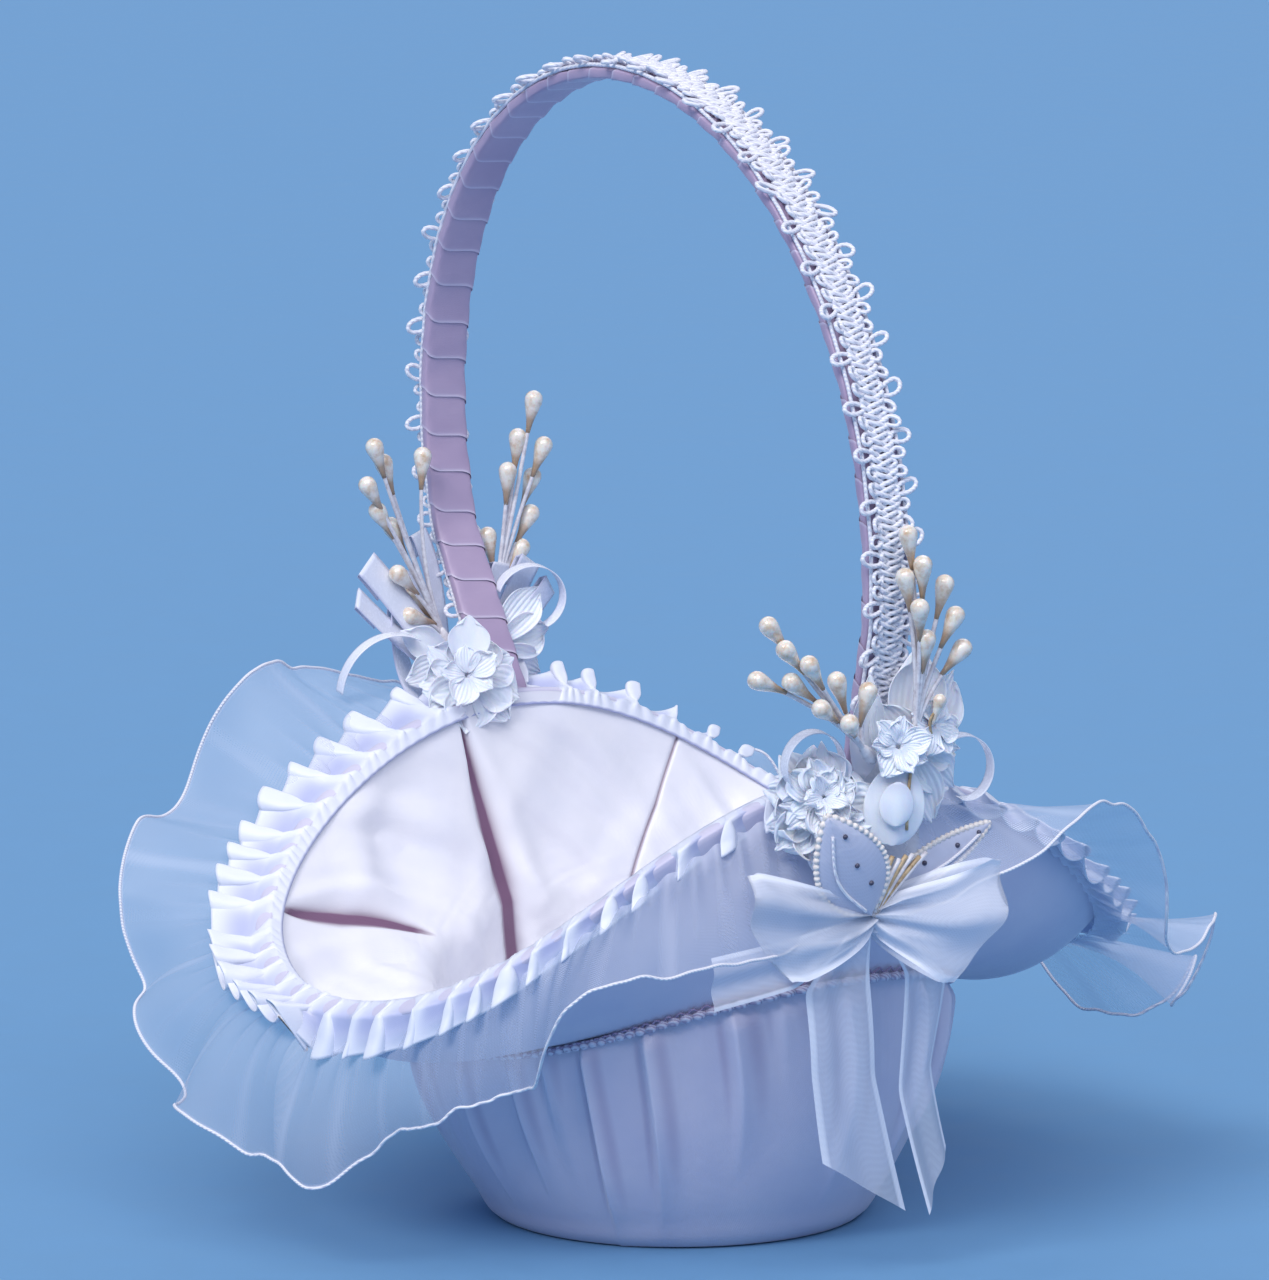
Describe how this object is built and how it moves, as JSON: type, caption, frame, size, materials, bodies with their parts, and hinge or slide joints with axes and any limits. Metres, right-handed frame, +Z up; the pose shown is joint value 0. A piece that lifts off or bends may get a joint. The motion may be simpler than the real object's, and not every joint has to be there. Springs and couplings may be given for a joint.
{
  "type": "flower girl basket",
  "caption": "Satin-covered basket with a drooping saddle brim, an arched ribbon-wrapped handle, gathered ruffles round the rim, and flower, pearl and bow trim at the handle feet.",
  "frame": {"origin": "centre of the flat base, on the floor", "axes": "+Z up; X along the two drooping wings; Y in the plane of the handle, with the large flower cluster and the bow at -Y"},
  "size_m": [0.3277, 0.2543, 0.3335],
  "materials": {
    "satin": "gathered white satin with a soft sheen",
    "lining_satin": "smooth white satin",
    "organza": "sheer white organza",
    "leaf_organza": "stiffened sheer fabric with a beaded edge",
    "edge_wire": "thread-covered fine wire",
    "braid": "looped cotton braid",
    "wrap_ribbon": "lavender-shaded satin ribbon",
    "ribbon": "narrow white satin ribbon",
    "petal": "pressed matt satin petals",
    "padding": "soft wadding",
    "board": "stiff pressed board",
    "handle_strip": "springy white strip",
    "steel": "plain steel",
    "pearl": "cream pearl lustre",
    "stamen": "bronze pearl thread"
  },
  "bodies": {
    "root": {"bottom_cover": "satin", "base_board": "board", "base_padding": "padding", "bowl_shell": "board", "brim_shell": "board", "rim_wire": "steel", "wall_padding": "padding", "outer_cover": "satin", "brim_cover": "satin", "lining": "lining_satin", "satin_ruffle": "lining_satin", "organza_ruffle": "organza", "ruffle_edge_wire": "edge_wire", "seam_gimp": "braid", "handle_core": "handle_strip", "handle_wrap": "wrap_ribbon", "handle_braid": "braid", "handle_rivet_front": "steel", "handle_rivet_back": "steel", "flower_pad_front": "padding", "flower_front_lower": "petal", "flower_front_left": "petal", "flower_front_upper": "petal", "leaf_front_left": "leaf_organza", "leaf_front_right": "leaf_organza", "stamens_front": "stamen", "pearl_spray_front_left": "pearl", "pearl_spray_front_right": "pearl", "ribbon_loop_front_left": "ribbon", "ribbon_loop_front_right": "ribbon", "bow_knot": "organza", "bow_loop_left": "organza", "bow_loop_right": "organza", "bow_short_tail": "organza", "bow_tail_left": "organza", "bow_tail_right": "organza", "flower_back": "petal", "leaf_back_left": "petal", "leaf_back_right": "petal", "pearl_spray_back_left": "pearl", "pearl_spray_back_right": "pearl", "ribbon_loop_back_left": "organza", "ribbon_loop_back_right": "ribbon", "ribbon_loop_back_side": "ribbon"}
  },
  "joints": []
}
